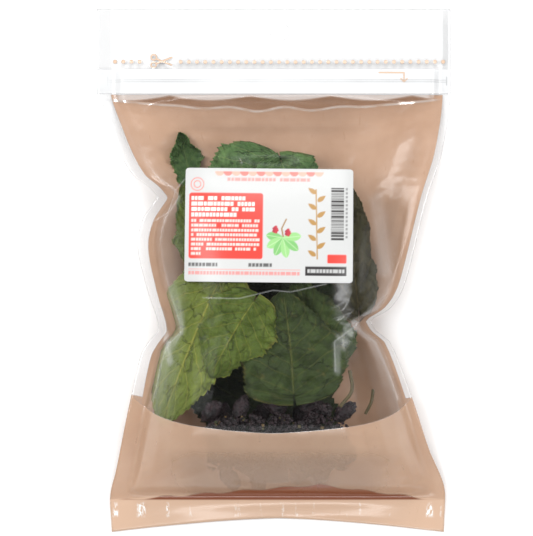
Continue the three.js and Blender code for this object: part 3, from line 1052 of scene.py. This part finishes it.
def heapTop(x):
    # the heap's upper outline: a low ridge on the left and a taller peak on the right
    ridge = -71.5 + 1.6 * math.sin(x / 3.1) + 1.2 * math.sin(x / 1.3 + 1)
    peak = -66.0 - abs(x - 23.5) * 0.75
    gap = -3.5 * math.exp(-((x - 9.5) / 2.2) ** 2)
    edge = -0.5 * max(0.0, -27.0 - x) ** 1.5
    return (max(ridge, peak) if x < 28 else peak) + gap + edge


def heapShelves():
    # sheets at several depths that the crumbs are strewn over
    points, faces = [], []
    rows, columns = crumbs["shelfGrid"]
    for depth in crumbs["shelfDepths"]:
        first = len(points)
        for i in range(rows):
            for j in range(columns):
                x = mix(crumbs["heapLeft"], crumbs["heapRight"], j / (columns - 1))
                y = mix(crumbs["heapFoot"], heapTop(x) - depth * 0.25, i / (rows - 1))
                under, over = filmHeights(x * mm, y * mm)
                points.append((x * mm, y * mm, max(under + 1.5 * mm, over - depth * mm)))
        faces += [tuple(first + p for p in face) for face in gridFaces(rows, columns)]
    return points, faces


def strewTree(material):
    tree = bpy.data.node_groups.new("strewn crumbs", "GeometryNodeTree")
    wanted = {
        "Geometry": "Geometry", "Crumbs per square metre": "Float", "Crumb radius": "Float",
        "Flatness": "Float", "Seed": "Int",
    }
    for name, kind in wanted.items():
        tree.interface.new_socket(name, in_out="INPUT", socket_type="NodeSocket" + kind)
    tree.interface.new_socket("Geometry", in_out="OUTPUT", socket_type="NodeSocketGeometry")

    def add(kind, settings=None, inputs=None):
        node = tree.nodes.new(kind)
        for key, value in (settings or {}).items():
            setattr(node, key, value)
        for key, value in (inputs or {}).items():
            value = value.outputs[0] if isinstance(value, bpy.types.Node) else value
            if isinstance(value, bpy.types.NodeSocket):
                tree.links.new(value, node.inputs[key])
            else:
                node.inputs[key].default_value = value
        return node

    def vectorMath(operation, inputs):
        return add("ShaderNodeVectorMath", {"operation": operation}, inputs)

    mesh, density, radius, flatness, seed = add("NodeGroupInput").outputs[:5]
    spread = {"Mesh": mesh, "Density": density, "Seed": seed}
    strewn = add("GeometryNodeDistributePointsOnFaces", None, spread)
    ball = add("GeometryNodeMeshIcoSphere", None, {"Radius": radius, "Subdivisions": 2})
    lumps = add("ShaderNodeTexNoise", None, {"Scale": 900.0, "Detail": 1.0})
    centred = vectorMath("SUBTRACT", {0: lumps.outputs["Color"], 1: (0.5, 0.5, 0.5)})
    lumpy = vectorMath("SCALE", {0: centred, "Scale": radius})
    crumb = add("GeometryNodeSetPosition", None, {"Geometry": ball, "Offset": lumpy})
    flat = add("ShaderNodeCombineXYZ", None, {0: 1.0, 1: 1.0, 2: flatness})
    pressed = add("GeometryNodeTransform", None, {"Geometry": crumb, "Scale": flat})
    turns = {"Min": (-0.7, -0.7, 0), "Max": (0.7, 0.7, 6.28)}
    anyTurn = add("FunctionNodeRandomValue", {"data_type": "FLOAT_VECTOR"}, turns)
    anySize = add("FunctionNodeRandomValue", {"data_type": "FLOAT"}, {2: 0.45, 3: 1.5}).outputs[1]
    placed = {"Points": strewn, "Instance": pressed, "Rotation": anyTurn, "Scale": anySize}
    real = add("GeometryNodeRealizeInstances", None, {0: add("GeometryNodeInstanceOnPoints", None, placed)})
    rounded = add("GeometryNodeSetShadeSmooth", None, {0: real})
    painted = add("GeometryNodeSetMaterial", None, {"Geometry": rounded, "Material": material})
    add("NodeGroupOutput", None, {0: painted})
    return tree


def strewCrumbs(name, spec, bed, material, slot):
    points, faces = bed
    mesh = bpy.data.meshes.new(name + "_bed")
    mesh.from_pydata(points, [], faces)
    area = sum(p.area for p in mesh.polygons)
    holder = newObject(name + "_bed", mesh)
    strew = holder.modifiers.new("strew", "NODES")
    strew.node_group = strewTree(material)
    values = {
        "Crumbs per square metre": spec["count"] / area,
        "Crumb radius": spec["size"] * mm,
        "Flatness": spec["flatness"],
        "Seed": spec["seed"],
    }
    for item in strew.node_group.interface.items_tree:
        if item.in_out == "INPUT" and item.name in values:
            strew[item.identifier] = values[item.name]
    evaluated = holder.evaluated_get(bpy.context.evaluated_depsgraph_get())
    made = bpy.data.meshes.new_from_object(evaluated)
    bpy.data.objects.remove(holder)
    made.name = name
    keepInsideFilm(made)
    finishPiece(newObject(name, made), slot)
    print(name, len(made.polygons))


def flakePaint():
    p = Paint("broken leaf")
    tone = p.noise(p.place(), 500.0, 3.0)
    colour = p.blend(tone.over(0.5, 0.2), (46, 52, 22), (96, 74, 40))
    normal = p.bump(tone, 0.5, 0.2 * mm)
    return p.finish({"Base Color": colour, "Roughness": 0.7 + tone * 0.1, "Normal": normal})


bed = heapShelves()
strewCrumbs("fruit_crumbs", crumbs["fruit"], bed, berryMaterial, "dried_berry")
strewCrumbs("leaf_crumbs", crumbs["leaf"], bed, flakePaint(), "dried_leaf")


class Print:
    # ink laid on the sticker's points, worked out in mm from its middle
    def __init__(self, u, v):
        self.u, self.v = u, v
        self.colour = np.ones((len(u), 4))
        self.colour[:, :3] = rgb(label["paper"])[:3]
        self.colour[:, 3] = 0.0

    def ink(self, mask, colour, strength=1.0):
        share = (mask * strength)[:, None]
        self.colour = self.colour * (1 - share) + np.array((*rgb(colour)[:3], 1.0)) * share

    def edge(self, inside, soft=0.3):
        return np.clip(inside / soft + 0.5, 0, 1)

    def box(self, left, foot, right, top):
        return self.edge(np.minimum.reduce([self.u - left, right - self.u, self.v - foot, top - self.v]))

    def roundBox(self, left, foot, right, top, corner):
        du = np.maximum(abs(self.u - (left + right) / 2) - (right - left) / 2 + corner, 0)
        dv = np.maximum(abs(self.v - (foot + top) / 2) - (top - foot) / 2 + corner, 0)
        return self.edge(corner - np.hypot(du, dv))

    def disc(self, x, y, radius):
        return self.edge(radius - np.hypot(self.u - x, self.v - y))

    def ring(self, x, y, radius, width):
        return self.edge(width / 2 - abs(np.hypot(self.u - x, self.v - y) - radius))

    def stroke(self, start, end, radius):
        return self.edge(radius - farFromStroke(self.u, self.v, start, end))

    def blocks(self, left, foot, right, top, pitch, seed):
        # a row of small plain blocks of uneven lengths, with a gap now and then
        chance = random.Random(seed)
        mask = np.zeros(len(self.u))
        x = left
        while x < right - pitch * 0.5:
            wide = pitch * chance.choice((0.7, 0.8, 0.8, 1.5))
            if chance.random() > 0.07:
                mask = np.maximum(mask, self.box(x, foot, min(x + wide, right), top))
            x += wide + pitch * 0.22
        return mask

    def leaf(self, x, y, angle, length, width, colour, veinColour=None):
        c, s = math.cos(angle), math.sin(angle)
        along = ((self.u - x) * c + (self.v - y) * s) / length
        aside = (self.v - y) * c - (self.u - x) * s
        half = width * np.clip(1 - along ** 2, 0, 1) ** 0.8 * (1 - 0.35 * along)
        inside = np.where(abs(along) < 1, half - abs(aside), -1)
        self.ink(self.edge(inside), colour)
        if veinColour:
            rib = np.minimum(np.minimum(0.16 - abs(aside), 0.9 - abs(along)), inside)
            self.ink(self.edge(rib, 0.4), veinColour, 0.8)


def printLabel(u, v):
    p = Print(u, v)
    for k in range(13):
        x = (k - 6) * 4.15
        p.ink(p.disc(x, 26.9, 2.3) * p.edge(26.9 - v), label["pink" if k % 2 else "peach"])
    p.ink(p.blocks(-21, 22.0, 21, 23.7, 1.9, 1), label["pink"], 0.75)
    for radius in (3.2, 1.7):
        p.ink(p.ring(-36.0, 20.3, radius, 0.45), label["pink"])

    # a red panel with two sizes of pale blocks
    p.ink(p.roundBox(-40.0, -17.0, -3.0, 16.0, 1.3), label["red"])
    for k, right in enumerate((-11.5, -7.0, -6.5, -16.0)):
        top = 14.2 - 2.75 * k
        p.ink(p.blocks(-38.8, top - 1.9, right, top, 1.8, 10 + k), label["paleInk"])
    for k, right in enumerate((-4.6, -4.6, -5.2, -6.0, -4.6, -4.8, -5.4, -33.0)):
        top = 2.7 - 2.35 * k
        p.ink(p.blocks(-38.8, top - 1.4, right, top, 1.4, 20 + k), label["paleInk"], 0.75)

    # a sprig with six leaves and two fruits
    p.ink(p.stroke((7.4, -7.0), (6.4, -1.6), 0.4), label["twig"])
    p.ink(p.stroke((6.4, -1.6), (8.6, 3.0), 0.35), label["twig"])
    reaches = {3.0: 4.2, -2.6: 4.6, -2.0: 4.8, -1.4: 5.0, -0.7: 4.8, 0.1: 4.4}
    for k, (angle, reach) in enumerate(reaches.items()):
        at = (7.2 + math.cos(angle) * reach, -6.2 + math.sin(angle) * reach)
        p.leaf(*at, angle + math.pi, reach + 0.2, 2.1, label["leafGreens"][k % 2], label["leafVein"])
    for x, y in ((3.2, -2.2), (9.4, -3.6)):
        for k in range(14):
            far = (k / 14) ** 0.5
            seedAt = (x + 1.1 * math.cos(k * 2.4) * far, y + 1.7 * math.sin(k * 2.4) * far)
            p.ink(p.disc(*seedAt, 0.66), label["fruit" if k % 3 else "darkFruit"])

    # a climbing stem of gold leaves
    p.ink(p.stroke((23.4, 18.0), (24.2, -16.6), 0.3), label["gold"])
    for k in range(9):
        side = 1 if k % 2 else -1
        y = 16.6 - 3.9 * k
        p.leaf(23.8 + side * 2.3, y + 0.8, math.pi / 2 - side * 0.95, 2.5, 1.15, label["gold"])

    # plain bars that code nothing, and a column of marks beside them
    chance = random.Random(7)
    y = 19.0
    while y > -6.5:
        wide = chance.choice((0.36, 0.36, 0.72, 1.08))
        p.ink(p.box(31.0, y - wide, 37.4, y), label["darkInk"])
        y -= wide + chance.choice((0.3, 0.36, 0.5))
    for k in range(13):
        p.ink(p.box(38.3, 17.8 - 2.0 * k, 39.3, 19.0 - 2.0 * k), label["darkInk"], 0.6)
    p.ink(p.roundBox(29.2, -18.8, 38.8, -14.4, 0.6), label["red"])
    p.ink(p.box(18.3, -25.0, 38.8, -20.4), label["darkInk"])
    p.ink(p.box(-40.0, -22.4, 15.8, -22.1), label["pink"], 0.7)
    for seed, (left, foot, right, top, pitch, ink, strength) in enumerate((
        (19.4, -23.6, 37.8, -21.8, 1.7, "paper", 0.85),
        (-40.0, -20.8, -25.5, -19.0, 1.8, "darkInk", 0.85),
        (-10.0, -20.8, 2.8, -19.0, 1.8, "darkInk", 0.85),
        (-40.0, -24.9, 15.8, -23.2, 1.6, "red", 0.55),
    ), 31):
        p.ink(p.blocks(left, foot, right, top, pitch, seed), label[ink], strength)
    return p.colour


def labelPaint():
    p = Paint("printed paper label")
    ink, cover = p.attribute("print", 0), p.attribute("print", 3)
    place = p.place()
    fibre = p.noise(place, 2400.0, 4.0, 0.65)
    mottle = p.noise(place, 300.0, 3.0)
    colour = p.blend(fibre.over(0.6, 0.4) * 0.05 + mottle * 0.03, ink, (120, 116, 112))
    return p.finish({
        "Base Color": colour,
        "Roughness": 0.42 + fibre * 0.12 - cover * 0.08,
        "Coat Weight": 0.2,
        "Coat Roughness": 0.22,
        "Normal": p.bump(fibre, 0.2, 0.1 * mm),
    })


def buildLabel():
    rows, columns = label["rows"], label["columns"]
    points, flat = [], []
    c, s = math.cos(label["turn"]), math.sin(label["turn"])
    for i in range(rows):
        v = (i / (rows - 1) - 0.5) * labelSize[1]
        nearEnd = max(0.0, abs(v) - labelSize[1] / 2 + label["corner"])
        cut = label["corner"] - math.sqrt(max(0.0, label["corner"] ** 2 - nearEnd ** 2))
        for j in range(columns):
            u = (j / (columns - 1) - 0.5) * (labelSize[0] - 2 * cut)
            x, y = labelCentre.x + u * c - v * s, labelCentre.y + u * s + v * c
            points.append((x, y, labelSurface(x, y) + label["thickness"] + 0.1 * mm))
            flat.append((u, v))
    piece = meshPiece("sticker", points, gridFaces(rows, columns), labelPaint())
    flat = np.array(flat)
    setUv(piece, flat / labelSize + 0.5, "sticker")
    colours = printLabel(flat[:, 0] / mm, flat[:, 1] / mm)
    attribute = piece.data.attributes.new("print", "FLOAT_COLOR", "POINT")
    attribute.data.foreach_set("color", colours.astype(np.float32).ravel())
    thicken(piece, label["thickness"])
    finishPiece(piece, "label_paper", "label")


buildLabel()
print("label made")


def tablePaint():
    p = Paint("pale table")
    grain = p.noise(p.place(), 40.0, 3.0)
    return p.finish({"Base Color": p.blend(grain, (253, 253, 253), (255, 255, 255)), "Roughness": 0.9})


def buildTable(reach, top):
    corners = [(-reach, -reach, top), (reach, -reach, top), (reach, reach, top), (-reach, reach, top)]
    table = meshPiece("table", corners, [(0, 1, 2, 3)], tablePaint(), False)


buildTable(3.0, -0.1 * mm)

studioLight = 0.52
world = bpy.data.worlds.new("studio")
bpy.context.scene.world = world
world.use_nodes = True
background = world.node_tree.nodes["Background"]
background.inputs["Color"].default_value = (1, 1, 1, 1)
background.inputs["Strength"].default_value = studioLight

lights = {
    "left_box": {"at": (-1.1, 0.35, 1.25), "size": (0.7, 1.1), "power": 14},
    "right_box": {"at": (1.15, 0.1, 1.1), "size": (0.5, 1.0), "power": 7.5},
    "top_strip": {"at": (0.1, 1.2, 0.9), "size": (1.2, 0.25), "power": 9},
    "foot_box": {"at": (0.0, -1.2, 1.2), "size": (0.9, 0.4), "power": 7},
}
for name, light in lights.items():
    data = bpy.data.lights.new(name, "AREA")
    data.shape = "RECTANGLE"
    data.size, data.size_y = light["size"]
    data.energy = light["power"]
    lamp = newObject(name, data)
    lamp.location = light["at"]
    lamp.rotation_euler = (-Vector(light["at"])).to_track_quat("-Z", "Y").to_euler()

view = {"distance": 2.2, "height": 272.6 * mm, "centre": (-3.6 * mm, 1.2 * mm), "sensor": 36}
camera = newObject("camera", bpy.data.cameras.new("camera"))
camera.data.sensor_width = view["sensor"]
camera.data.lens = view["sensor"] * view["distance"] / view["height"]
camera.data.clip_start, camera.data.clip_end = 0.1, 20
camera.location = (*view["centre"], view["distance"])
bpy.context.scene.camera = camera
bpy.context.scene.view_settings.view_transform = "Standard"
print("stage set")
